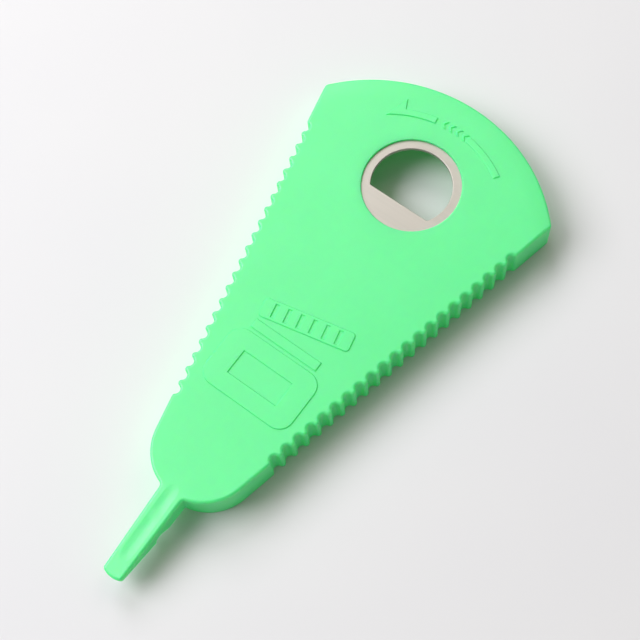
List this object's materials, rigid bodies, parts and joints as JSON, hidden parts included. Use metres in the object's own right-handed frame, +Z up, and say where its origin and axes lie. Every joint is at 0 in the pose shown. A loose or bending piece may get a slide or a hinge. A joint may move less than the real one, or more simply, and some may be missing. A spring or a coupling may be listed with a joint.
{
  "type": "multi-purpose lid and cap opener",
  "caption": "Hand opener: V-shaped wavy grip for screw lids, steel insert that lifts crown caps, and a pry tongue with a ring-pull hook.",
  "frame": {"origin": "on the surface that the opener lies on, under the middle of its whole length and width", "axes": "+Y along the axis of the V from the tongue's tip to the wide end, +X to the right seen from above, +Z up out of the flat top"},
  "size_m": [0.1056, 0.2248, 0.0165],
  "materials": {
    "green_plastic": "bright green moulded plastic, satin, fine even grain",
    "steel": "stamped stainless sheet, fine satin grain"
  },
  "bodies": {
    "root": {"opener_body": "green_plastic", "cap_lifter_disc": "steel"}
  },
  "joints": []
}
